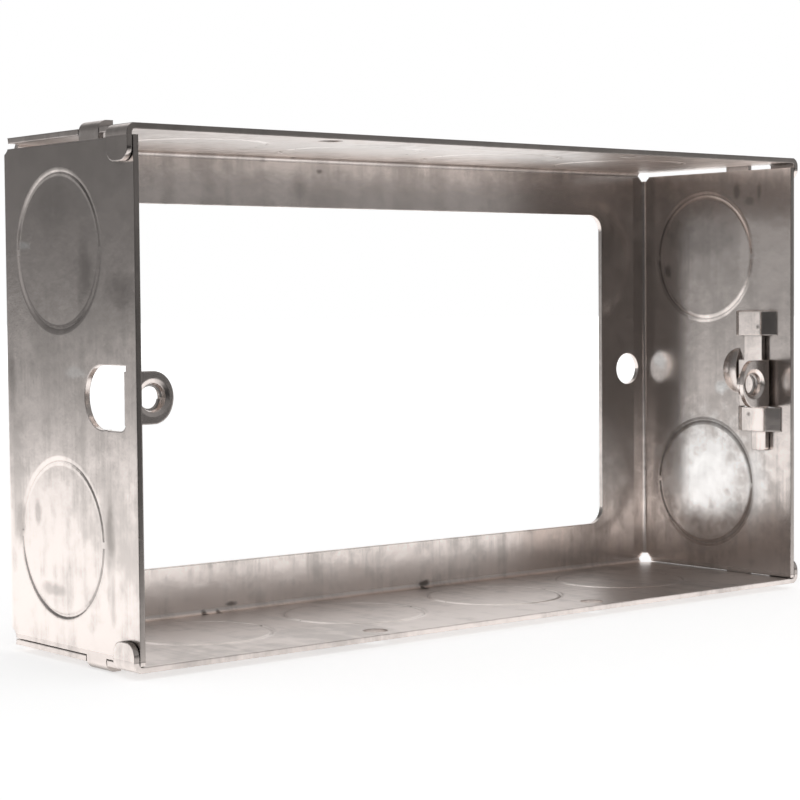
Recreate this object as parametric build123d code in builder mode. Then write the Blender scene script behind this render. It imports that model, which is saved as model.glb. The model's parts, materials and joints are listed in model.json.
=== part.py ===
from build123d import *
from math import cos, radians, tan
import os

# Two-gang flush extension box: one folded steel sheet with an open back frame,
# and a loose lug that slides under two straps lanced from the right end wall.
# Origin: middle of the line between the two back fixing holes, on the back face.
# +X runs to the right, +Z up and +Y backwards, so the open front faces -Y.
# Values that differ between two sides are keyed by the sign of their place on X or Z.

# Overall form
width = 131.0            # over the two end walls
height = 72.0            # over the two long walls
depth = 35.0             # back face to front edge
sheet = 0.8              # galvanised sheet of the box
bend_inside = 0.7        # inside radius of the folds at the back

# Back frame
end_flange = 11.6        # window's edge from the outside of an end wall
long_flange = 8.6        # window's edge from the outside of a long wall
window_corner = 2.8
fixing_from_end = 5.2    # leaves 120.6 between the two fixing holes
fixing_diameter = 5.5

# Open corners
corner_slit = {1: 0.75, -1: 0.15}   # light gap between an end wall and a long wall
relief_radius = 1.5      # punched relief where three folds meet

# Interlocked corner tabs
tab_gap = 0.15           # between a tab and the wall it lies on
notch_gap = 0.2          # between a tab and the notch it passes through
corner_tab_bend = 0.5    # inside radius of a corner tab's fold
end_tab_bend = 0.5       # inside radius of an end wall tab's fold
end_tab_width = 5.0      # tab of an end wall, folded over a long wall
end_tab_from_back = {-1: 21.5, 1: 20.6}
end_tab_reach = 2.3
corner_tab_width = 5.2   # tab of a long wall, folded over an end wall
corner_tab_round = 1.9
corner_tab_drop = {(-1, 1): 4.9, (1, 1): 3.6, (-1, -1): 4.0, (1, -1): 4.0}

# Knockouts
knockout_diameter = 21.6
knockout_from_back = 15.5
knockout_groove = 0.5
knockout_groove_depth = 0.25
knockout_tie = 0.9
end_knockout_spacing = 39.6
long_knockout_pitch = 28.8
long_knockout_count = 4

# Small round holes near the front edge of the long walls
pilot_diameter = 3.6
pilot_from_front = 3.8
pilot_spacing = {1: 60.4, -1: 44.0}
pilot_middle = {1: 0.0, -1: -0.9}

# Screw holes of the two lugs
screw_diameter = 3.5
lug_flare = 0.8          # drawn-in entry of a lug's screw hole, steeper past its waist
lug_flare_waist = 0.23
collar_wall = 0.6
collar_length = 1.0

# Fixed lug, folded inward from its D-shaped cut-out in the left end wall
fixed_lug_reach = 3.9    # inside of the end wall to the screw hole's middle
fixed_lug_tip = 3.15     # screw hole's middle to the end of the lug
fixed_lug_width = 7.1
fixed_lug_from_front = 3.2
lug_bend = 0.6
cutout_height = 8.7
cutout_corner = 1.5
cutout_length = 10.4

# Straps and louvre of the right end wall
lug_sheet = 0.9          # sheet of the sliding lug
slide_gap = 0.12         # each side of the sliding lug's plate
strap_width = 4.1
strap_inner_spacing = 12.3
strap_span = {1: 8.4, -1: 9.0}      # foot to foot on the wall
strap_flat = 4.6
strap_from_back = {1: 27.5, -1: 28.2}
strap_bend = 0.4
louvre_from_back = 23.7  # sheared lip of the louvre
louvre_length = 3.9
louvre_rise = 1.1
louvre_gap = 0.6         # between the louvre's lip and the sliding lug

# Sliding lug, at the bottom of its travel
neck_width = {1: 4.0, -1: 3.2}
neck_from_back = {1: 27.5, -1: 28.7}
neck_overhang = {1: -0.6, -1: 3.3}  # of a neck's end beyond its strap's far edge
neck_corner = 0.5
shoulder_height = 8.0
stop_gap = 0.1
sliding_lug_reach = 4.9  # inside of the end wall to the screw hole's middle
sliding_lug_tip = 2.8    # screw hole's middle to the end of the tongue
sliding_lug_from_front = 3.8

half_width = width / 2
half_height = height / 2
wall_inner = half_width - sheet
front = -depth
signs = (-1, 1)


def rounded_path(points, radii):
    """Straight runs joined by tangent arcs, drawn in the outline that is being built."""
    start = points[0]
    for before, corner, after, radius in zip(points, points[1:], points[2:], radii):
        run = (corner - before).normalized()
        next_run = (after - corner).normalized()
        half_turn = radians(run.get_angle(next_run)) / 2
        inward = (next_run - run).normalized()
        arc_start = corner - run * radius * tan(half_turn)
        arc_end = corner + next_run * radius * tan(half_turn)
        arc_middle = corner + inward * radius * (1 / cos(half_turn) - 1)
        Line(start, arc_start)
        ThreePointArc(arc_start, arc_middle, arc_end)
        start = arc_end
    Line(start, points[-1])


def strip_outline(path_points, thickness, inside_radius):
    """Closed outline of a strip of sheet bent along the path, with its thickness to the
    path's left, or to its right where the thickness is negative."""
    path = [Vector(*point) for point in path_points]
    runs = [(end - start).normalized() for start, end in zip(path, path[1:])]
    normals = [Vector(-run.Y, run.X) * thickness for run in runs]
    far_path = [path[0] + normals[0]]
    path_radii, far_radii = [], []
    for before, after, run, next_run, corner in zip(normals, normals[1:], runs, runs[1:], path[1:]):
        share = 1 + before.dot(after) / thickness ** 2
        far_path.append(corner + (before + after) / share)
        path_is_outside = (run.cross(next_run).Z > 0) == (thickness > 0)
        path_radii.append(inside_radius + abs(thickness) * path_is_outside)
        far_radii.append(inside_radius + abs(thickness) * (not path_is_outside))
    far_path.append(path[-1] + normals[-1])
    with BuildLine() as outline:
        rounded_path(path, path_radii)
        rounded_path(far_path, far_radii)
        Line(path[0], far_path[0])
        Line(path[-1], far_path[-1])
    return outline.edges()


# Room inside the folded tray
with BuildPart() as interior:
    with BuildSketch(Plane.XZ.offset(sheet)):
        Rectangle(width - 2 * sheet, height - 2 * sheet)
    extrude(amount=depth - sheet)
    fillet(interior.faces().sort_by(Axis.Y)[-1].edges(), radius=bend_inside)

# Cutter of one knockout: a V-shaped ring sheared part way into each face of a sheet
# that lies on XY, with two ties left across it
with BuildPart() as knockout_ring:
    with BuildSketch(Plane.XZ):
        with Locations(*[(knockout_diameter / 2, side * sheet / 2) for side in signs]):
            Polygon((knockout_groove / 2, 0), (0, knockout_groove_depth),
                    (-knockout_groove / 2, 0), (0, -knockout_groove_depth), align=None)
    revolve(axis=Axis.Z)
    Box(2 * knockout_diameter, knockout_tie, 2 * sheet, mode=Mode.SUBTRACT)

# Cutter of one lug's screw hole, with its drawn-in entry on XY and the hole below it
with BuildPart() as screw_hole:
    screw_radius = screw_diameter / 2
    hole_end = -2 * (lug_sheet + collar_length)
    with BuildSketch(Plane.XZ):
        Polygon((screw_radius, hole_end), (0, hole_end), (0, 0), (screw_radius + lug_flare, 0),
                (screw_radius + lug_flare_waist, -lug_flare_waist),
                (screw_radius, -lug_flare), align=None)
    revolve(axis=Axis.Z)

# Bulge of the louvre: half a spherical cap that stands on YZ towards -X, cut at its lip
with BuildPart() as louvre_bulge:
    bulge_radius = (louvre_rise ** 2 + louvre_length ** 2) / (2 * louvre_rise)
    with Locations((bulge_radius - louvre_rise, 0, 0)):
        Sphere(bulge_radius)
    Box(louvre_rise, louvre_length, 2 * louvre_length,
        align=(Align.MAX, Align.MIN, Align.CENTER), mode=Mode.INTERSECT)

# The box is first a tray with folded back edges, open to the front
with BuildPart() as extension_box:
    with BuildSketch(Plane.XZ):
        Rectangle(width, height)
    extrude(amount=depth)
    fillet(extension_box.faces().sort_by(Axis.Y)[-1].edges(), radius=bend_inside + sheet)
    add(interior.part, mode=Mode.SUBTRACT)

    # Window and fixing holes of the back frame
    with BuildSketch(Plane.XZ):
        RectangleRounded(width - 2 * end_flange, height - 2 * long_flange, window_corner)
        with GridLocations(width - 2 * fixing_from_end, 1, 2, 1):
            Circle(fixing_diameter / 2)
    extrude(amount=sheet, mode=Mode.SUBTRACT)

    # Slits that separate the end walls from the long walls, with their reliefs
    fold_depth = sheet + bend_inside
    for sz in signs:
        with Locations(*[(sx * (half_width - sheet / 2), (front - fold_depth) / 2,
                          sz * (half_height - sheet - corner_slit[sz] / 2)) for sx in signs]):
            Box(sheet, depth - fold_depth, corner_slit[sz], mode=Mode.SUBTRACT)
    with BuildSketch(Plane.XZ):
        with GridLocations(2 * wall_inner, 2 * (half_height - sheet), 2, 2):
            Circle(relief_radius)
    extrude(amount=fold_depth, mode=Mode.SUBTRACT)
    for side in signs:
        with BuildSketch(Plane.YZ.offset(side * half_width)):
            with Locations((-sheet, 0)):
                with GridLocations(1, 2 * (half_height - sheet), 1, 2):
                    Circle(relief_radius)
        extrude(amount=-side * fold_depth, mode=Mode.SUBTRACT)
        with BuildSketch(Plane.XY.offset(side * half_height)):
            with Locations((0, -sheet)):
                with GridLocations(2 * wall_inner, 1, 2, 1):
                    Circle(relief_radius)
        extrude(amount=-side * fold_depth, mode=Mode.SUBTRACT)

    # Notches in the long walls, where the end walls' tabs come through
    notch_depth = sheet + notch_gap
    with Locations(*[(sx * (half_width - notch_depth / 2),
                      -end_tab_from_back[sx] - end_tab_width / 2,
                      sz * (half_height - sheet / 2)) for sx in signs for sz in signs]):
        Box(notch_depth, end_tab_width + 2 * notch_gap, sheet, mode=Mode.SUBTRACT)

    # Tabs of the end walls, folded over the outside of the long walls
    for sx in signs:
        for sz in signs:
            x_inner = sx * wall_inner
            z_lap = sz * (half_height + tab_gap)
            points = [(x_inner, sz * (half_height - 2 * sheet - corner_slit[sz])),
                      (x_inner, z_lap), (sx * (half_width - end_tab_reach), z_lap)]
            with BuildSketch(Plane.XZ.offset(end_tab_from_back[sx])):
                make_face(strip_outline(points, -sx * sz * sheet, end_tab_bend))
            extrude(amount=end_tab_width)

    # Corner tabs of the long walls, folded over the outside of the end walls
    for sx in signs:
        for sz in signs:
            z_inner = sz * (half_height - sheet)
            x_lap = sx * (half_width + tab_gap)
            leg_start = sz * (half_height - sheet - corner_tab_bend - tab_gap)
            leg_end = sz * (half_height - corner_tab_drop[sx, sz])
            points = [(sx * wall_inner, z_inner), (x_lap, z_inner), (x_lap, leg_start)]
            with BuildSketch(Plane.XZ.offset(depth - corner_tab_width)):
                make_face(strip_outline(points, sx * sz * sheet, corner_tab_bend))
            extrude(amount=corner_tab_width)
            with BuildSketch(Plane.YZ.offset(x_lap)) as leg:
                with Locations((front + corner_tab_width / 2, (leg_start + leg_end) / 2)):
                    Rectangle(corner_tab_width, abs(leg_end - leg_start))
                fillet(leg.vertices().sort_by(Axis.Y, reverse=sz < 0)[:2], radius=corner_tab_round)
            extrude(amount=sx * sheet)

    # Knockouts of the end walls and the long walls
    for side in signs:
        with Locations(Plane.YZ.offset(side * (half_width - sheet / 2))):
            with Locations((-knockout_from_back, 0)):
                with GridLocations(1, end_knockout_spacing, 1, 2):
                    add(knockout_ring.part, mode=Mode.SUBTRACT)
        with Locations(Plane.XY.offset(side * (half_height - sheet / 2))):
            with Locations((0, -knockout_from_back)):
                with GridLocations(long_knockout_pitch, 1, long_knockout_count, 1):
                    add(knockout_ring.part, mode=Mode.SUBTRACT)

    # Small holes of the long walls
    for side in signs:
        with BuildSketch(Plane.XY.offset(side * half_height)):
            with Locations((pilot_middle[side], front + pilot_from_front)):
                with GridLocations(pilot_spacing[side], 1, 2, 1):
                    Circle(pilot_diameter / 2)
        extrude(amount=-side * sheet, mode=Mode.SUBTRACT)

    # D-shaped cut-out of the left end wall, left open where the fixed lug was folded in
    lug_face = front + fixed_lug_from_front
    cutout_front = lug_face - lug_bend
    cutout_rear_radius = cutout_height / 2
    cutout_straight = cutout_length - cutout_rear_radius
    with BuildSketch(Plane.YZ.offset(-half_width)) as cutout:
        with Locations((cutout_front, 0)):
            Rectangle(cutout_straight, cutout_height, align=(Align.MIN, Align.CENTER))
        fillet(cutout.vertices().group_by(Axis.Y)[0], radius=cutout_corner)
        with Locations((cutout_front + cutout_straight, 0)):
            Circle(cutout_rear_radius)
    extrude(amount=sheet, mode=Mode.SUBTRACT)

    # Fixed lug: fold, round-ended plate, plunged collar and screw hole
    fixed_lug_centre = wall_inner - fixed_lug_reach
    with BuildSketch(Plane.XY.offset(-fixed_lug_width / 2)):
        lug_path = [(-wall_inner, cutout_front - sheet), (-wall_inner, lug_face),
                    (-fixed_lug_centre, lug_face)]
        make_face(strip_outline(lug_path, sheet, lug_bend))
    extrude(amount=fixed_lug_width)
    with BuildSketch(Plane.XZ.offset(-lug_face)):
        with Locations((-fixed_lug_centre, 0)):
            Ellipse(fixed_lug_tip, fixed_lug_width / 2)
            Rectangle(fixed_lug_tip, fixed_lug_width, align=(Align.MIN, Align.CENTER),
                      mode=Mode.INTERSECT)
    extrude(amount=-sheet)
    with BuildSketch(Plane.XZ.offset(-lug_face - sheet)):
        with Locations((-fixed_lug_centre, 0)):
            Circle(screw_radius + collar_wall)
    extrude(amount=-collar_length)
    with Locations(Plane((-fixed_lug_centre, lug_face, 0), z_dir=(0, -1, 0))):
        add(screw_hole.part, mode=Mode.SUBTRACT)

    # Windows in the right end wall, then the straps lanced out of them
    strap_rise = 2 * slide_gap + lug_sheet
    strap_centre = strap_inner_spacing / 2 + strap_width / 2
    for sz in signs:
        strap_middle = -strap_from_back[sz]
        foot = strap_span[sz] / 2
        with Locations((half_width - sheet / 2, strap_middle, sz * strap_centre)):
            Box(sheet, strap_span[sz], strap_width, mode=Mode.SUBTRACT)
        points = [(half_width, strap_middle - foot - sheet), (half_width, strap_middle - foot),
                  (wall_inner - strap_rise, strap_middle - strap_flat / 2),
                  (wall_inner - strap_rise, strap_middle + strap_flat / 2),
                  (half_width, strap_middle + foot), (half_width, strap_middle + foot + sheet)]
        with BuildSketch(Plane.XY.offset(sz * strap_centre - strap_width / 2)):
            make_face(strip_outline(points, sheet, strap_bend))
        extrude(amount=strap_width)

    # Louvre, drawn inward behind the sliding lug: a hollow bulge, sheared open at its lip
    lip_y = -louvre_from_back
    for outward, mode in ((0, Mode.ADD), (sheet, Mode.SUBTRACT)):
        with Locations((wall_inner + outward, lip_y, 0)):
            add(louvre_bulge.part, mode=mode)

# The loose lug: a plate under the straps, with a drilled tongue folded inward from its front
plate_outer = wall_inner - slide_gap
plate_inner = plate_outer - lug_sheet
lug_low = stop_gap - strap_inner_spacing / 2
lug_middle = lug_low + shoulder_height / 2
sliding_lug_centre = wall_inner - sliding_lug_reach
tongue_face = front + sliding_lug_from_front
plate_rear = lip_y - louvre_gap
with BuildPart() as adjustable_lug:
    lug_path = [(plate_outer, plate_rear), (plate_outer, tongue_face),
                (sliding_lug_centre, tongue_face)]
    with BuildSketch(Plane.XY.offset(lug_low)):
        make_face(strip_outline(lug_path, -lug_sheet, lug_bend))
    extrude(amount=shoulder_height)
    with BuildSketch(Plane.XZ.offset(-tongue_face)):
        with Locations((sliding_lug_centre, lug_middle)):
            Ellipse(sliding_lug_tip, shoulder_height / 2)
            Rectangle(sliding_lug_tip, shoulder_height, align=(Align.MAX, Align.CENTER),
                      mode=Mode.INTERSECT)
    extrude(amount=-lug_sheet)
    with BuildSketch(Plane.XZ.offset(-tongue_face - lug_sheet)):
        with Locations((sliding_lug_centre, lug_middle)):
            Circle(screw_radius + collar_wall)
    extrude(amount=-collar_length)
    with Locations(Plane((sliding_lug_centre, tongue_face, lug_middle), z_dir=(0, -1, 0))):
        add(screw_hole.part, mode=Mode.SUBTRACT)
    for sz in signs:
        neck_end = sz * (strap_inner_spacing / 2 + strap_width + neck_overhang[sz])
        with BuildSketch(Plane.YZ.offset(plate_inner)):
            with Locations((-neck_from_back[sz], (lug_middle + neck_end) / 2)):
                RectangleRounded(neck_width[sz], abs(neck_end - lug_middle), neck_corner)
        extrude(amount=lug_sheet)

os.makedirs("parts", exist_ok=True)
extension_box.part.label = "extension_box"
adjustable_lug.part.label = "adjustable_lug"
export_step(extension_box.part, "parts/extension_box.step")
export_step(adjustable_lug.part, "parts/adjustable_lug.step")
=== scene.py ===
import bpy
import json
import math
from mathutils import Matrix, Vector


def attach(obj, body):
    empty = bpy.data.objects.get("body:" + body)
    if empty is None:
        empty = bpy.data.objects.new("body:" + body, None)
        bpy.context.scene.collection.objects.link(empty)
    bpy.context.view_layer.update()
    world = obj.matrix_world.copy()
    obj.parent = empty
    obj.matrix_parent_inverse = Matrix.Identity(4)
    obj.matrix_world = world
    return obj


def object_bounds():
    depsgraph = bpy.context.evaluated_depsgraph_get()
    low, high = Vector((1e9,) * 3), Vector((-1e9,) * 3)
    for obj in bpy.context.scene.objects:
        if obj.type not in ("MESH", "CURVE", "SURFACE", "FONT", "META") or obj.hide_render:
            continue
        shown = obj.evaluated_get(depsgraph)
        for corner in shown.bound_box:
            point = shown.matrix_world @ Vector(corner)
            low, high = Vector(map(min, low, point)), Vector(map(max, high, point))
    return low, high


bl_info = {
    "name": "Flush extension box",
    "version": (1, 0, 0),
    "blender": (4, 5, 0),
    "location": "3D View > Sidebar > Extension Box",
    "description": "Gives the steel extension box and its sliding lug their finish and stage",
    "category": "Object",
}

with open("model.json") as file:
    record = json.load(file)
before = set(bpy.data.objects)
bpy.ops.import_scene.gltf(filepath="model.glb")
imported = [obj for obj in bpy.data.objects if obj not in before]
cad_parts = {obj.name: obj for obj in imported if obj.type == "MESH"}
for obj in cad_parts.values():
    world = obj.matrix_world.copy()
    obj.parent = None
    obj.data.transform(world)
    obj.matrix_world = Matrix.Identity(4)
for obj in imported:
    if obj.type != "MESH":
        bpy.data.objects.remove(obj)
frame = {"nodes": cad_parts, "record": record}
CAD_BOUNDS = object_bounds()
MOUNTS = {mount["name"]: mount for mount in frame["record"]["mounts"]}

# Places on the folded sheet, in millimetres in the row frame
MM = 0.001
END_WALL = 65.1          # middle of an end wall's sheet
END_ZONE = 60.1          # an end wall with its fold lies beyond this
LONG_WALL = 35.6         # middle of a long wall's sheet
LONG_ZONE = 34.4         # a long wall with its fold lies beyond this
BOTTOM_FACE = -34.6      # just above the bottom wall
BACK_FOLD = -3.0         # just in front of the folds to the back frame
SHEARED_FRONT = -34.95   # just behind the walls' front edges
LIFTED = 63.2            # middle of the lug's plate and of the straps over it
LIFTED_REACH = 1.3       # half the depth that they take up
KNOCKOUT_BEHIND = 15.5   # knockout middles, from the back face
KNOCKOUT_RADIUS = 10.8
END_KNOCKOUT = 19.8      # end wall knockouts, from the middle
LONG_KNOCKOUT = 28.8     # pitch of the long walls' knockouts
LONG_OFFSET = 2.5        # the long walls' discs stand this many times further in
RING_EDGE = (0.28, 0.45)  # from the middle of a sheared ring, where its fill fades

# Patterns of the zinc: scale per millimetre, detail, roughness
CLOUDS = (0.07, 3, 0.55)
MOTTLE = (0.4, 4, 0.6)
GRAIN = (4.5, 2, 0.55)
GRAIN_DEPTH = 0.25       # share of the streaks' depth
# Lines of the rolling: detail, roughness, squash along the line, shift off and on end walls
STREAKS = (3, 0.6, 0.03, (0, 0, 0), (9, 0, 0))
BANDS = (2, 0.5, 0.08, (3, 7, 0), (5, 3, 0))
BAND_SCALE = 0.22        # share of the streaks' scale

# Tones of the zinc
SHARES = {"clouds": 0.42, "mottle": 0.26, "bands": 0.2, "streaks": 0.12}
STAINED = (0.44, 0.60)   # tones where the dull zinc begins and is full
RAGGED = 2.0             # how ragged the outlines of patches are
PATCH_EDGE = (0.3, 1.35)  # share of its reach where a patch begins to fade and ends
SHELTERED = (0.2, 0.75)  # openness where the painted shade in gaps and corners is full and where it ends
# Depth of the painted shade in gaps and corners
RECESS_SHADE = 0.85
# Depth of the painted shade on the walls' front edge faces
EDGE_SHADE = 0.65
TONE_GLOSS = 0.2         # change of roughness from the brightest to the dullest tone
SOIL_AND_SHADE_GLOSS = 0.08        # roughness that stains, marks and painted shade add

THREAD_FULLNESS = 0.8    # radius of the thread's rounded ridge, in ridge heights
THREAD_STEPS = 40        # in one turn
THREAD_SIDES = 10
# Screw threads: name, body, slot and the mount with the place and length of the hole
THREADS = (
    ("fixed_lug_thread", "box", "galvanised_sheet", "fixed_lug_screw"),
    ("sliding_lug_thread", "lug", "lug_sheet", "adjustable_lug_screw"),
)

# Painted highlights and reflections on the sheet: middle, reach and depth of tone
PAINTED_HIGHLIGHTS = (
    ((64.7, -15.5, -18.5), (0.5, 10.5, 9.5), 1.00),
    ((64.7, -27.0, -20.0), (0.5, 3.0, 9.0), 0.60),
    ((64.7, -19.5, -3.0), (0.5, 1.4, 1.2), 1.00),
    ((64.7, -4.7, 1.9), (0.5, 1.5, 2.0), 0.80),
    ((-65.5, -6.5, 20.8), (0.5, 1.7, 0.7), 0.90),
    ((-65.5, -20.0, 3.2), (0.5, 3.0, 0.7), 0.50),
    # Painted reflection over the top wall's underside
    ((-12.9, -20.0, 35.2), (50.0, 14.0, 0.5), 0.60),
)

# Stains, scuffs and pits of the sheet: middle, reach and depth of tone
MARKS = (
    ((-65.5, -31.3, 14.3), (0.5, 3.6, 3.0), 0.50),
    ((-65.5, -22.6, 17.0), (0.5, 2.0, 4.6), 0.55),
    ((-65.5, -15.0, 25.5), (0.5, 5.0, 3.5), 0.20),
    ((-65.5, -27.9, -17.6), (0.5, 1.3, 5.4), 0.60),
    ((-65.5, -4.0, -18.0), (0.5, 1.7, 3.2), 0.50),
    ((-65.5, -2.2, 2.5), (0.5, 1.2, 5.0), 0.45),
    ((-65.5, -13.3, -27.1), (0.5, 3.4, 0.9), 0.40),
    ((-65.5, -9.0, -16.3), (0.5, 1.0, 2.0), 0.40),
    ((-65.5, -28.5, -27.0), (0.5, 0.7, 3.5), 0.30),
    ((64.7, -14.6, 23.4), (0.5, 8.0, 4.4), 0.45),
    ((64.7, -6.7, 17.3), (0.5, 0.9, 1.0), 0.60),
    ((64.7, -22.9, 31.0), (0.5, 0.7, 1.4), 0.50),
    ((64.7, -25.6, 29.2), (0.5, 1.2, 0.8), 0.45),
    ((64.7, -28.0, 30.6), (0.5, 0.5, 1.4), 0.50),
    ((64.7, -24.0, -24.0), (0.5, 4.0, 1.2), 0.30),
    ((63.0, -29.3, 7.6), (0.6, 0.45, 0.45), 0.95),
    ((63.0, -27.3, -7.4), (0.6, 0.45, 0.45), 0.85),
    ((-12.9, -0.8, 30.9), (1.6, 0.5, 2.5), 0.30),
    ((-14.6, -1.6, 35.0), (0.9, 0.5, 0.5), 0.80),
    ((-20.2, -1.2, 34.6), (0.7, 0.5, 0.5), 0.70),
    ((-9.0, -0.8, 33.2), (0.7, 0.4, 0.4), 0.70),
    ((11.4, -1.4, -35.3), (0.5, 1.3, 0.9), 1.00),
    ((11.9, -0.8, -34.5), (1.3, 0.5, 0.5), 1.00),
    ((-32.4, -1.2, -35.1), (0.5, 0.9, 0.6), 0.95),
    ((-29.7, -1.2, -35.1), (0.5, 0.9, 0.6), 0.95),
    ((-27.2, -0.8, -34.1), (1.0, 0.5, 0.4), 0.80),
)

# The stage, in metres
SENSOR_WIDTH = 36              # millimetres
CAMERA_RANGE = (0.01, 50)
AHEAD = (0.636, 0.772, 0.0)    # along the camera's line of sight
ASIDE = (-0.772, 0.636, 0.0)   # across it
FLOOR_REACH = 4.0
FLOOR_FADE = (0.3, 1.5)        # distances where the floor begins to whiten and is white
PAPER_FRONT = (-0.13, -0.06)   # the paper begins and is full, ahead of the box's middle
PAPER_RISE = (0.1, 0.6, 1.0, 1.9)  # it brightens between these places and levels
PAPER_SIDE = (0.3, 0.6)        # shares of its width where it begins to fade and ends
DARK_FLOOR = 0.06              # the floor before the paper, where the metal mirrors it
LAMP_PLACE = (-0.1, -0.3, 0.8)
LAMP_SIZE = 0.8
# Bright patches of the room: direction, cosines of the rim and of the core
CARD = (AHEAD, 0.84, 0.93)
WINDOW = ((0.68, -0.72, 0.15), 0.45, 0.95)
DOORWAY = ((-0.82, 0.56, 0.12), 0.955, 0.998)
CEILING = ((0.45, 0.55, 0.70), 0.75, 0.97)


# ---------------------------------------------------------------- sizes and colours

class ZincFinish(bpy.types.PropertyGroup):
    """Galvanised sheet of the box and its lug"""
    zinc: bpy.props.FloatVectorProperty(
        name="Zinc", description="Colour of the clean zinc coat", subtype="COLOR",
        size=3, min=0, max=1, default=(0.86, 0.780, 0.738))
    dull_zinc: bpy.props.FloatVectorProperty(
        name="Dull zinc", description="Colour of the dulled, stained zinc", subtype="COLOR",
        size=3, min=0, max=1, default=(0.43, 0.395, 0.372))
    long_wall_dullness: bpy.props.FloatProperty(
        name="Long wall dullness", description="Added roughness of the top and bottom walls",
        min=0, max=1, default=0.16)
    lifted_tilt: bpy.props.FloatProperty(
        name="Lifted tilt", description="Slope of the slightly tilted faces of lug and straps",
        min=-0.5, max=0.5, default=0.045)
    # Painted highlight: colour of the painted highlights and reflections
    painted_highlight: bpy.props.FloatVectorProperty(
        name="Polished zinc", description="Colour of the brightest, rubbed zinc",
        subtype="COLOR", size=3, min=0, max=1, default=(1.0, 0.975, 0.955))
    # Colour of the stains and marks, and of the painted shade in gaps, corners and on the
    # front edges
    soil_and_shade: bpy.props.FloatVectorProperty(
        name="Soil", description="Colour of stains, scuffs and bare sheared edges",
        subtype="COLOR", size=3, min=0, max=1, default=(0.20, 0.178, 0.165))
    # Painted shade: how far the shade spreads out of gaps and corners
    shade_reach: bpy.props.FloatProperty(
        name="Recess reach", description="How far the soil spreads out of gaps and corners",
        subtype="DISTANCE", unit="LENGTH", min=0.0001, max=0.01, default=0.0016)
    roughness: bpy.props.FloatProperty(
        name="Roughness", description="Mean roughness of the rolled surface",
        min=0.05, max=1, default=0.2)
    stain: bpy.props.FloatProperty(
        name="Staining", description="How strongly the dull zinc shows", min=0, max=1,
        default=0.5)
    streak_width: bpy.props.FloatProperty(
        name="Streak width", description="Width of the rolling streaks", subtype="DISTANCE",
        unit="LENGTH", min=0.0001, max=0.01, default=0.0006)
    streak_depth: bpy.props.FloatProperty(
        name="Streak depth", description="Depth of the rolling streaks", subtype="DISTANCE",
        unit="LENGTH", min=0, max=0.001, default=0.000006)
    dimples: bpy.props.FloatProperty(
        name="Dimples", description="Height of the small unevenness of the zinc",
        subtype="DISTANCE", unit="LENGTH", min=0, max=0.001, default=0.00002)
    waviness: bpy.props.FloatProperty(
        name="Waviness", description="Height of the sheet's broad waves",
        subtype="DISTANCE", unit="LENGTH", min=0, max=0.002, default=0.0001)
    knockout_offset: bpy.props.FloatProperty(
        name="Knockout offset", description="How far the punched discs stand inwards",
        subtype="DISTANCE", unit="LENGTH", min=0, max=0.001, default=0.00016)
    knockout_edge: bpy.props.FloatProperty(
        name="Knockout edge", description="Width of the soft edge round a punched disc",
        subtype="DISTANCE", unit="LENGTH", min=0.0001, max=0.005, default=0.0015)
    ring_fill: bpy.props.FloatProperty(
        name="Ring fill", description="How far zinc fills the sheared rings of the knockouts",
        min=0, max=1, default=0.85)
    edge_round: bpy.props.FloatProperty(
        name="Edge round", description="Radius at which the sheared edges catch the light",
        subtype="DISTANCE", unit="LENGTH", min=0, max=0.001, default=0.00025)


class LugThread(bpy.types.PropertyGroup):
    """Screw threads cut in the two lugs"""
    pitch: bpy.props.FloatProperty(
        name="Pitch", description="Rise of the thread in one turn", subtype="DISTANCE",
        unit="LENGTH", min=0.0002, max=0.002, default=0.0006)
    ridge: bpy.props.FloatProperty(
        name="Ridge", description="Height of the thread's ridge", subtype="DISTANCE",
        unit="LENGTH", min=0.0001, max=0.001, default=0.00026)
    hole: bpy.props.FloatProperty(
        name="Hole", description="Radius of the plain hole that carries the thread",
        subtype="DISTANCE", unit="LENGTH", min=0.0005, max=0.005, default=0.00175)


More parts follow.
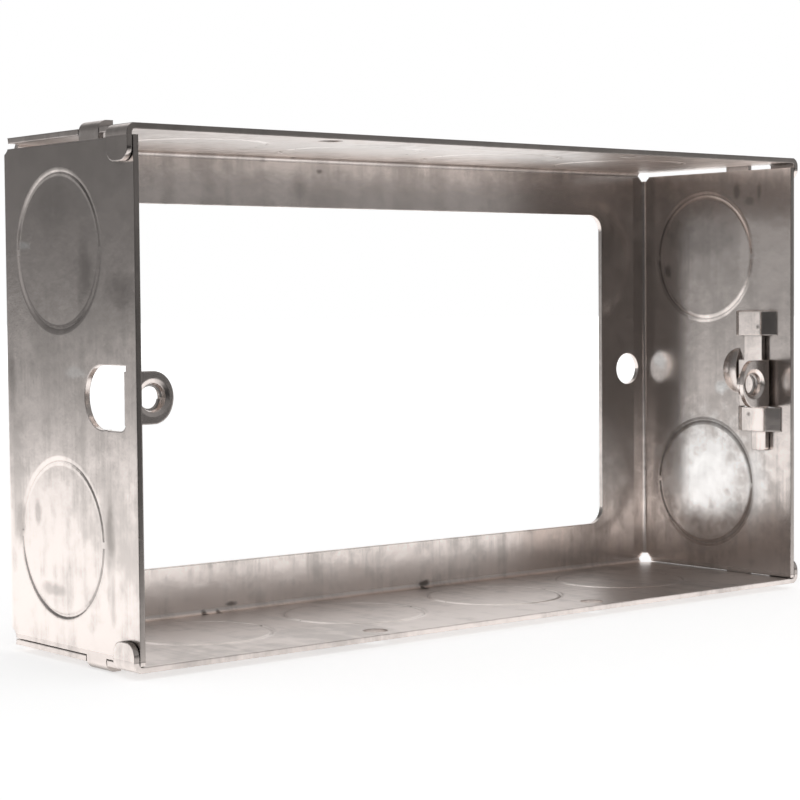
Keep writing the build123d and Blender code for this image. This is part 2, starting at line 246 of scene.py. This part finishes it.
class StudioStage(bpy.types.PropertyGroup):
    """Camera, floor, light and background"""
    camera_place: bpy.props.FloatVectorProperty(
        name="Camera place", description="Where the camera stands", subtype="TRANSLATION",
        unit="LENGTH", size=3, default=(-0.21484, -0.27013, 0.01268))
    camera_turn: bpy.props.FloatVectorProperty(
        name="Camera turn", description="Turn to the right, tilt up and roll", subtype="EULER",
        size=3, default=(0.6893, -0.0470, -0.0085))
    focal_length: bpy.props.FloatProperty(
        name="Focal length", description="Lens for a 36 mm wide sensor, in millimetres",
        min=10, max=300, default=95.58)
    floor_colour: bpy.props.FloatVectorProperty(
        name="Floor", description="Colour of the table top", subtype="COLOR", size=3,
        min=0, max=1, default=(0.85, 0.85, 0.85))
    room_light: bpy.props.FloatProperty(
        name="Room light", description="Level of the even light that fills the room",
        min=0, max=5, default=0.5)
    floor_glow: bpy.props.FloatProperty(
        name="Floor glow", description="Light added to the table top where it is seen",
        min=0, max=1, default=0.54)
    paper_width: bpy.props.FloatProperty(
        name="Paper width", description="Width of the lit paper that the metal mirrors",
        subtype="DISTANCE", unit="LENGTH", min=0.1, max=4, default=0.9)
    paper_shine: bpy.props.FloatProperty(
        name="Paper shine", description="Light added to the paper where the metal mirrors it",
        min=0, max=2, default=0.76)
    room_shade: bpy.props.FloatProperty(
        name="Room shade", description="Level of the dim room that shows in the metal",
        min=0, max=1, default=0.15)
    front_light: bpy.props.FloatProperty(
        name="Front light", description="Level of the window at the front right",
        min=0, max=5, default=0.15)
    side_light: bpy.props.FloatProperty(
        name="Side light", description="Level of the lit doorway at the far left",
        min=0, max=5, default=0.22)
    ceiling_light: bpy.props.FloatProperty(
        name="Ceiling light", description="Level of the ceiling's light patch behind the box",
        min=0, max=5, default=1.0)
    lamp_power: bpy.props.FloatProperty(
        name="Lamp power", description="Power of the large soft lamp", subtype="POWER",
        unit="POWER", min=0, max=100, default=0.8)


GROUPS = {"zinc_finish": ZincFinish, "lug_thread": LugThread, "studio_stage": StudioStage}


# ---------------------------------------------------------------- node helpers

def feed(tree, socket, value):
    """Link a socket to the input, or set the input to a value."""
    if isinstance(value, bpy.types.NodeSocket):
        tree.links.new(value, socket)
    else:
        socket.default_value = value


def add_node(tree, kind, **settings):
    """A node of that kind, with its settings and the values of its named inputs."""
    node = tree.nodes.new(kind)
    inputs = settings.pop("inputs", {})
    for name, value in settings.items():
        setattr(node, name, value)
    for name, value in inputs.items():
        feed(tree, node.inputs[name], value)
    return node


def math_node(tree, operation, *values):
    """Result of a sum on numbers or sockets."""
    return add_node(tree, "ShaderNodeMath", operation=operation,
                    inputs=dict(enumerate(values))).outputs[0]


def vector_node(tree, operation, *values, result="Vector"):
    """Result of a sum on vectors or sockets."""
    return add_node(tree, "ShaderNodeVectorMath", operation=operation,
                    inputs=dict(enumerate(values))).outputs[result]


def ramp(tree, value, low, high, start=0.0, end=1.0):
    """The value spread smoothly from low..high onto start..end."""
    return add_node(tree, "ShaderNodeMapRange", interpolation_type="SMOOTHSTEP",
                    inputs={"Value": value, "From Min": low, "From Max": high,
                            "To Min": start, "To Max": end}).outputs["Result"]


def noise(tree, place, scale, detail, roughness, stretch=(1, 1, 1), shift=(0, 0, 0)):
    """Noise on a place in millimetres; the scale is per millimetre."""
    mapping = add_node(tree, "ShaderNodeMapping",
                       inputs={"Vector": place, "Scale": stretch, "Location": shift})
    return add_node(tree, "ShaderNodeTexNoise", noise_dimensions="3D",
                    inputs={"Vector": mapping.outputs[0], "Scale": scale, "Detail": detail,
                            "Roughness": roughness}).outputs["Fac"]


def mix(tree, kind, share, first, second):
    """The first value where the share is 0, the second where it is 1."""
    node = add_node(tree, "ShaderNodeMix", data_type=kind)
    tail = {"FLOAT": "Float", "VECTOR": "Vector", "RGBA": "Color"}[kind]
    sockets = {socket.identifier: socket for socket in node.inputs}
    for name, value in (("Factor_Float", share), ("A_" + tail, first), ("B_" + tail, second)):
        feed(tree, sockets[name], value)
    return next(socket for socket in node.outputs if socket.identifier == "Result_" + tail)


def shaded(colour):
    """The colour with full cover."""
    return (*colour, 1.0)


def empty_tree(holder):
    """The emptied node tree of a material or a world."""
    holder.use_nodes = True
    holder.node_tree.nodes.clear()
    return holder.node_tree


def surface(tree, kind, shader):
    """Show the shader on the material or world."""
    output = add_node(tree, kind)
    tree.links.new(shader.outputs[0], output.inputs["Surface"])


# ---------------------------------------------------------------- finishes

def beyond(tree, number, limit):
    """1 where the number is further from 0 than the limit, and 0 elsewhere."""
    return math_node(tree, "GREATER_THAN", math_node(tree, "ABSOLUTE", number), limit)


def knockout_step(tree, x, y, z, on_end_wall, finish):
    """Height of the knockout discs, punched inwards with a soft edge: below the outside of
    the walls and above their inside. Also how far the zinc fills the sheared rings, and the
    wall's own upright direction there."""
    across = math_node(tree, "ADD", y, KNOCKOUT_BEHIND)
    along_end = math_node(tree, "SUBTRACT", math_node(tree, "ABSOLUTE", z), END_KNOCKOUT)
    along_long = math_node(tree, "SUBTRACT", math_node(tree, "ABSOLUTE", math_node(
        tree, "SUBTRACT", math_node(tree, "ABSOLUTE", x), LONG_KNOCKOUT)), LONG_KNOCKOUT / 2)
    along = mix(tree, "FLOAT", on_end_wall, along_long, along_end)
    radius = math_node(tree, "SQRT", math_node(
        tree, "ADD", math_node(tree, "MULTIPLY", across, across),
        math_node(tree, "MULTIPLY", along, along)))
    soft = finish.knockout_edge / MM / 2
    disc = ramp(tree, radius, KNOCKOUT_RADIUS - soft, KNOCKOUT_RADIUS + soft, 1.0, 0.0)
    outside = mix(tree, "FLOAT", on_end_wall, beyond(tree, z, LONG_WALL),
                  beyond(tree, x, END_WALL))
    outwards = math_node(tree, "MULTIPLY_ADD", outside, 2.0, -1.0)
    offset = math_node(tree, "MULTIPLY_ADD", on_end_wall, 1 - LONG_OFFSET, LONG_OFFSET)
    offset = math_node(tree, "MULTIPLY", offset, -finish.knockout_offset / MM)
    height = math_node(tree, "MULTIPLY", math_node(tree, "MULTIPLY", disc, outwards), offset)

    from_ring = math_node(tree, "ABSOLUTE",
                          math_node(tree, "SUBTRACT", radius, KNOCKOUT_RADIUS))
    filled = ramp(tree, from_ring, *RING_EDGE, finish.ring_fill, 0.0)
    on_long_wall = math_node(tree, "SUBTRACT", 1.0, on_end_wall)
    facing = [math_node(tree, "MULTIPLY", here, math_node(
        tree, "MULTIPLY", math_node(tree, "SIGN", side), outwards))
        for here, side in ((on_end_wall, x), (on_long_wall, z))]
    upright = add_node(tree, "ShaderNodeCombineXYZ",
                       inputs={"X": facing[0], "Z": facing[1]}).outputs[0]
    upright = add_node(tree, "ShaderNodeVectorTransform", vector_type="NORMAL",
                       convert_from="OBJECT", convert_to="WORLD",
                       inputs={"Vector": upright}).outputs[0]
    return height, filled, upright


def patches(tree, place, ragged, places):
    """Depth of tone of all the patches, with ragged outlines."""
    total = 0.0
    for middle, reach, depth in places:
        off = vector_node(tree, "DIVIDE", vector_node(tree, "SUBTRACT", place, middle), reach)
        far = vector_node(tree, "LENGTH", off, result="Value")
        patch = ramp(tree, math_node(tree, "ADD", far, ragged), *PATCH_EDGE, depth, 0.0)
        total = math_node(tree, "MAXIMUM", patch, total)
    return total


def rolled(tree, place, on_end_wall, scale, line):
    """Lines in the direction of rolling: along Z on the end walls, and across the long walls
    and the back frame."""
    detail, roughness, squash, shift, end_shift = line
    return mix(tree, "FLOAT", on_end_wall,
               noise(tree, place, scale, detail, roughness, (1, squash, squash), shift),
               noise(tree, place, scale, detail, roughness, (squash, 1, squash), end_shift))


def relief(tree, x, y, z, on_end_wall, patterns, finish):
    """Upright direction of the surface, with its discs, tilts, waves and lines."""
    height, filled, upright = knockout_step(tree, x, y, z, on_end_wall, finish)
    lifted = math_node(tree, "LESS_THAN", math_node(
        tree, "ABSOLUTE", math_node(tree, "ADD", x, -LIFTED)), LIFTED_REACH)
    height = math_node(tree, "MULTIPLY_ADD", math_node(tree, "MULTIPLY", lifted, z),
                       finish.lifted_tilt, height)
    for name, rise in (("clouds", finish.waviness), ("mottle", finish.dimples),
                       ("streaks", finish.streak_depth),
                       ("grain", finish.streak_depth * GRAIN_DEPTH)):
        height = math_node(tree, "MULTIPLY_ADD", patterns[name], rise / MM, height)
    rounded = add_node(tree, "ShaderNodeBevel", samples=4,
                       inputs={"Radius": finish.edge_round}).outputs[0]
    return add_node(tree, "ShaderNodeBump", inputs={
        "Height": height, "Distance": MM, "Strength": 1.0,
        "Normal": mix(tree, "VECTOR", filled, rounded, upright)}).outputs[0]


def soil_and_shade_depth(tree, place, y, z, ragged, finish):
    """Depth of stains and painted shade: the marks, painted shade on the walls' front
    edges and in gaps and corners. The front edge of the bottom wall gets no painted shade."""
    # Painted shade on the walls' front edge faces; the bottom wall's front edge gets none
    sheared = math_node(tree, "MULTIPLY", math_node(tree, "LESS_THAN", y, SHEARED_FRONT),
                        math_node(tree, "GREATER_THAN", z, BOTTOM_FACE))
    # Painted shade in gaps, folds and corners, darker where the surface is less open
    open_air = add_node(tree, "ShaderNodeAmbientOcclusion", samples=4,
                        inputs={"Distance": finish.shade_reach}).outputs["AO"]
    recess_shade = math_node(tree, "MULTIPLY", ramp(tree, open_air, *SHELTERED, RECESS_SHADE, 0.0),
                       math_node(tree, "LESS_THAN", y, BACK_FOLD))
    return math_node(tree, "MAXIMUM", math_node(tree, "MULTIPLY", sheared, EDGE_SHADE),
                     math_node(tree, "MAXIMUM", patches(tree, place, ragged, MARKS), recess_shade))


def zinc_sheet(name, finish):
    """Galvanised sheet, rolled along the height of the flat blank: blotches, rolling
    streaks, fine grain, stains, painted highlights and reflections, painted shade in gaps,
    corners and on the front edges, and the slightly sunk discs of the knockouts."""
    material = bpy.data.materials.new(name)
    tree = empty_tree(material)
    place = add_node(tree, "ShaderNodeTexCoord").outputs["Object"]
    place = add_node(tree, "ShaderNodeVectorMath", operation="SCALE",
                     inputs={"Vector": place, "Scale": 1 / MM}).outputs[0]
    x, y, z = add_node(tree, "ShaderNodeSeparateXYZ", inputs={"Vector": place}).outputs
    on_end_wall = beyond(tree, x, END_ZONE)
    fine = MM / finish.streak_width
    patterns = {
        "streaks": rolled(tree, place, on_end_wall, fine, STREAKS),
        "bands": rolled(tree, place, on_end_wall, fine * BAND_SCALE, BANDS),
        "clouds": noise(tree, place, *CLOUDS),
        "mottle": noise(tree, place, *MOTTLE),
        "grain": noise(tree, place, *GRAIN),
    }
    upright = relief(tree, x, y, z, on_end_wall, patterns, finish)

    tone = 0.0
    for pattern, share in SHARES.items():
        tone = math_node(tree, "MULTIPLY_ADD", patterns[pattern], share, tone)
    ragged = math_node(tree, "MULTIPLY_ADD", patterns["mottle"], RAGGED, -RAGGED / 2)
    stain = ramp(tree, tone, *STAINED, 0.0, finish.stain)
    soil_and_shade = soil_and_shade_depth(tree, place, y, z, ragged, finish)
    colour = mix(tree, "RGBA", stain, shaded(finish.zinc), shaded(finish.dull_zinc))
    # Painted highlights and reflections: patches of brighter zinc colour
    colour = mix(tree, "RGBA", patches(tree, place, ragged, PAINTED_HIGHLIGHTS), colour,
                 shaded(finish.painted_highlight))
    # Stains and painted shade
    colour = mix(tree, "RGBA", soil_and_shade, colour, shaded(finish.soil_and_shade))

    roughness = math_node(tree, "ADD", finish.roughness,
                          math_node(tree, "MULTIPLY_ADD", tone, TONE_GLOSS, -TONE_GLOSS / 2))
    roughness = math_node(tree, "MULTIPLY_ADD", beyond(tree, z, LONG_ZONE),
                          finish.long_wall_dullness, roughness)
    roughness = math_node(tree, "MULTIPLY_ADD", math_node(tree, "MAXIMUM", stain, soil_and_shade),
                          SOIL_AND_SHADE_GLOSS, roughness)
    surface(tree, "ShaderNodeOutputMaterial", add_node(
        tree, "ShaderNodeBsdfPrincipled",
        inputs={"Base Color": colour, "Metallic": 1.0, "Roughness": roughness,
                "Normal": upright}))
    return material


def wear(piece, material):
    """Give the piece that one material."""
    piece.data.materials.clear()
    piece.data.materials.append(material)


# ---------------------------------------------------------------- pieces

class EXTENSIONBOX_OT_finish_box(bpy.types.Operator):
    """Give the folded sheet of the box its galvanised finish"""
    bl_idname = "extensionbox.finish_box"
    bl_label = "Finish the box"

    def execute(self, context):
        finish = context.scene.zinc_finish
        wear(frame["nodes"]["extension_box"], zinc_sheet("galvanised_sheet", finish))
        return {"FINISHED"}


class EXTENSIONBOX_OT_finish_lug(bpy.types.Operator):
    """Give the sliding lug its galvanised finish"""
    bl_idname = "extensionbox.finish_lug"
    bl_label = "Finish the sliding lug"

    def execute(self, context):
        finish = context.scene.zinc_finish
        wear(frame["nodes"]["adjustable_lug"], zinc_sheet("lug_sheet", finish))
        return {"FINISHED"}


def thread_tree():
    """A rounded ridge wound as a right-hand screw round a hole along Y."""
    tree = bpy.data.node_groups.new("lug_thread", "GeometryNodeTree")
    tree.is_modifier = True
    for name, kind in (("Pitch", "Float"), ("Ridge", "Float"), ("Hole", "Float"),
                       ("Length", "Float"), ("Middle", "Vector"), ("Material", "Material")):
        tree.interface.new_socket(name=name, in_out="INPUT", socket_type="NodeSocket" + kind)
    tree.interface.new_socket(name="Geometry", in_out="OUTPUT",
                              socket_type="NodeSocketGeometry")
    size = add_node(tree, "NodeGroupInput").outputs
    thick = math_node(tree, "MULTIPLY", size["Ridge"], THREAD_FULLNESS)
    rise = math_node(tree, "MULTIPLY_ADD", thick, -2.0, size["Length"])
    middle = math_node(tree, "ADD", math_node(tree, "SUBTRACT", size["Hole"], size["Ridge"]),
                       thick)
    turns = add_node(tree, "GeometryNodeCurveSpiral", inputs={
        "Resolution": THREAD_STEPS, "Start Radius": middle, "End Radius": middle,
        "Height": rise, "Rotations": math_node(tree, "DIVIDE", rise, size["Pitch"])})
    section = add_node(tree, "GeometryNodeCurvePrimitiveCircle",
                       inputs={"Resolution": THREAD_SIDES, "Radius": thick})
    ridge = add_node(tree, "GeometryNodeCurveToMesh", inputs={
        "Curve": turns.outputs[0], "Profile Curve": section.outputs[0], "Fill Caps": True})
    back = add_node(tree, "ShaderNodeCombineXYZ",
                    inputs={"Y": math_node(tree, "MULTIPLY", rise, -0.5)})
    moved = add_node(tree, "GeometryNodeTransform", inputs={
        "Geometry": ridge.outputs[0], "Rotation": (-math.pi / 2, 0, 0),
        "Translation": vector_node(tree, "ADD", size["Middle"], back.outputs[0])})
    smooth = add_node(tree, "GeometryNodeSetShadeSmooth",
                      inputs={"Geometry": moved.outputs[0]})
    real = add_node(tree, "GeometryNodeRealizeInstances",
                    inputs={"Geometry": smooth.outputs[0]})
    worn = add_node(tree, "GeometryNodeSetMaterial",
                    inputs={"Geometry": real.outputs[0], "Material": size["Material"]})
    add_node(tree, "NodeGroupOutput", inputs={"Geometry": worn.outputs[0]})
    return tree


class EXTENSIONBOX_OT_cut_threads(bpy.types.Operator):
    """Cut the screw threads of the two lugs, one ridge for each"""
    bl_idname = "extensionbox.cut_threads"
    bl_label = "Cut the lug threads"

    def execute(self, context):
        thread = context.scene.lug_thread
        tree = thread_tree()
        keys = {item.name: item.identifier for item in tree.interface.items_tree
                if item.in_out == "INPUT"}
        for name, body, slot, mount in THREADS:
            stock = bpy.data.objects.new(name + "_stock", bpy.data.meshes.new(name + "_stock"))
            context.collection.objects.link(stock)
            modifier = stock.modifiers.new("thread", "NODES")
            modifier.node_group = tree
            length = MOUNTS[mount]["dims"]["length_mm"] * MM
            for key, value in (("Pitch", thread.pitch), ("Ridge", thread.ridge),
                               ("Hole", thread.hole), ("Length", length),
                               ("Middle", MOUNTS[mount]["pos_m"]),
                               ("Material", bpy.data.materials[slot])):
                modifier[keys[key]] = value
            graph = context.evaluated_depsgraph_get()
            mesh = bpy.data.meshes.new_from_object(stock.evaluated_get(graph))
            bpy.data.objects.remove(stock)
            mesh.name = name
            piece = bpy.data.objects.new(name, mesh)
            context.collection.objects.link(piece)
            wear(piece, bpy.data.materials[slot])
            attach(piece, body)
        return {"FINISHED"}


# ---------------------------------------------------------------- stage

class EXTENSIONBOX_OT_set_stage(bpy.types.Operator):
    """Set the camera, the floor, the lamp and the background"""
    bl_idname = "extensionbox.set_stage"
    bl_label = "Set the stage"

    def execute(self, context):
        stage = context.scene.studio_stage
        self.place_camera(context, stage)
        self.lay_floor(context, stage)
        self.hang_lamp(context, stage)
        self.light_room(context, stage)
        context.scene.view_settings.view_transform = "Standard"
        return {"FINISHED"}

    def place_camera(self, context, stage):
        """The camera that took the photo: a plain pin-hole, fitted to the box's edges."""
        camera = bpy.data.cameras.new("photo_camera")
        camera.sensor_width = SENSOR_WIDTH
        camera.lens = stage.focal_length
        camera.clip_start, camera.clip_end = CAMERA_RANGE
        stand = bpy.data.objects.new("photo_camera", camera)
        context.collection.objects.link(stand)
        turn, tilt, roll = stage.camera_turn
        stand.matrix_world = (Matrix.Translation(stage.camera_place)
                              @ Matrix.Rotation(-turn, 4, "Z")
                              @ Matrix.Rotation(math.pi / 2 + tilt, 4, "X")
                              @ Matrix.Rotation(roll, 4, "Z"))
        context.scene.camera = stand

    def lay_floor(self, context, stage):
        """The white table top, with the lit paper that only the metal mirrors."""
        level = CAD_BOUNDS[0][2]
        corners = [(x * FLOOR_REACH, y * FLOOR_REACH, level)
                   for x, y in ((-1, -1), (1, -1), (1, 1), (-1, 1))]
        mesh = bpy.data.meshes.new("floor")
        mesh.from_pydata(corners, [], [(0, 1, 2, 3)])
        floor = bpy.data.objects.new("floor", mesh)
        context.collection.objects.link(floor)
        material = bpy.data.materials.new("table_top")
        tree = empty_tree(material)
        rays = add_node(tree, "ShaderNodeLightPath").outputs
        place = add_node(tree, "ShaderNodeTexCoord").outputs["Object"]
        distance = vector_node(tree, "LENGTH", place, result="Value")
        along = vector_node(tree, "DOT_PRODUCT", place, AHEAD, result="Value")
        aside = math_node(tree, "ABSOLUTE", vector_node(
            tree, "DOT_PRODUCT", place, ASIDE, result="Value"))
        seen = math_node(tree, "MULTIPLY", rays["Is Camera Ray"],
                         ramp(tree, distance, *FLOOR_FADE, stage.floor_glow, 1.0))
        on_paper = ramp(tree, along, *PAPER_FRONT)
        side = [stage.paper_width * share for share in PAPER_SIDE]
        paper = math_node(tree, "MULTIPLY", on_paper,
                          ramp(tree, aside, *side, stage.paper_shine, 0.0))
        paper = math_node(tree, "MULTIPLY", paper, ramp(tree, along, *PAPER_RISE))
        mirrored = math_node(tree, "MULTIPLY", math_node(
            tree, "MAXIMUM", rays["Is Glossy Ray"], rays["Is Transmission Ray"]), paper)
        shade = math_node(tree, "MULTIPLY", rays["Is Glossy Ray"],
                          math_node(tree, "SUBTRACT", 1.0, on_paper))
        paint = add_node(tree, "ShaderNodeBsdfDiffuse", inputs={"Color": mix(
            tree, "RGBA", shade, shaded(stage.floor_colour), shaded([DARK_FLOOR] * 3))})
        glow = add_node(tree, "ShaderNodeEmission", inputs={
            "Color": (1, 1, 1, 1), "Strength": math_node(tree, "ADD", seen, mirrored)})
        both = add_node(tree, "ShaderNodeAddShader",
                        inputs={0: paint.outputs[0], 1: glow.outputs[0]})
        surface(tree, "ShaderNodeOutputMaterial", both)
        wear(floor, material)

    def hang_lamp(self, context, stage):
        """A large soft lamp that looks at the middle of the box's back face."""
        light = bpy.data.lights.new("overhead_lamp", "AREA")
        light.shape = "SQUARE"
        light.size = LAMP_SIZE
        light.energy = stage.lamp_power
        lamp = bpy.data.objects.new("overhead_lamp", light)
        context.collection.objects.link(lamp)
        lamp.location = LAMP_PLACE
        lamp.rotation_euler = (-Vector(LAMP_PLACE)).to_track_quat("-Z", "Y").to_euler()

    def facing(self, tree, direction, patch):
        """1 for directions in the core of the patch, and 0 outside its rim."""
        towards, rim, core = patch
        return ramp(tree, vector_node(tree, "DOT_PRODUCT", direction,
                                      Vector(towards).normalized(), result="Value"), rim, core)

    def light_room(self, context, stage):
        """White where the camera sees it, an even light on the box, and a dim room with
        bright patches where the metal mirrors it."""
        world = bpy.data.worlds.new("studio")
        context.scene.world = world
        tree = empty_tree(world)
        rays = add_node(tree, "ShaderNodeLightPath").outputs
        direction = add_node(tree, "ShaderNodeTexCoord").outputs["Generated"]
        shine = stage.room_shade
        for patch, level in ((WINDOW, stage.front_light), (DOORWAY, stage.side_light)):
            shine = math_node(tree, "MULTIPLY_ADD", self.facing(tree, direction, patch),
                              level, shine)
        for patch, level in ((CARD, 1.0), (CEILING, stage.ceiling_light)):
            shine = math_node(tree, "MAXIMUM", shine, math_node(
                tree, "MULTIPLY", self.facing(tree, direction, patch), level))
        glossy = math_node(tree, "MULTIPLY", rays["Is Glossy Ray"], shine)
        plain = math_node(tree, "MAXIMUM", rays["Is Camera Ray"], rays["Is Transmission Ray"])
        other = math_node(tree, "SUBTRACT", 1.0, math_node(
            tree, "MAXIMUM", plain, rays["Is Glossy Ray"]))
        strength = math_node(tree, "ADD", math_node(tree, "ADD", plain, glossy),
                             math_node(tree, "MULTIPLY", other, stage.room_light))
        surface(tree, "ShaderNodeOutputWorld", add_node(
            tree, "ShaderNodeBackground",
            inputs={"Color": (1, 1, 1, 1), "Strength": strength}))


# ---------------------------------------------------------------- sidebar and registration

OPERATORS = (EXTENSIONBOX_OT_finish_box, EXTENSIONBOX_OT_finish_lug,
             EXTENSIONBOX_OT_cut_threads, EXTENSIONBOX_OT_set_stage)


class EXTENSIONBOX_PT_sidebar(bpy.types.Panel):
    """Sizes, colours and steps of the extension box"""
    bl_label = "Extension Box"
    bl_idname = "EXTENSIONBOX_PT_sidebar"
    bl_space_type = "VIEW_3D"
    bl_region_type = "UI"
    bl_category = "Extension Box"

    def draw(self, context):
        for name, group in GROUPS.items():
            box = self.layout.box()
            box.label(text=group.__doc__)
            for setting in group.__annotations__:
                box.prop(getattr(context.scene, name), setting)
        for operator in OPERATORS:
            self.layout.operator(operator.bl_idname)


CLASSES = (*GROUPS.values(), *OPERATORS, EXTENSIONBOX_PT_sidebar)


def register():
    """Add the settings, the steps and the sidebar."""
    for item in CLASSES:
        bpy.utils.register_class(item)
    for name, group in GROUPS.items():
        setattr(bpy.types.Scene, name, bpy.props.PointerProperty(type=group))


def unregister():
    """Take them away again."""
    for name in GROUPS:
        delattr(bpy.types.Scene, name)
    for item in reversed(CLASSES):
        bpy.utils.unregister_class(item)


def main():
    """Finish the pieces, cut the threads and set the stage."""
    register()
    bpy.ops.extensionbox.finish_box()
    bpy.ops.extensionbox.finish_lug()
    bpy.ops.extensionbox.cut_threads()
    bpy.ops.extensionbox.set_stage()


if __name__ == "__main__":
    main()
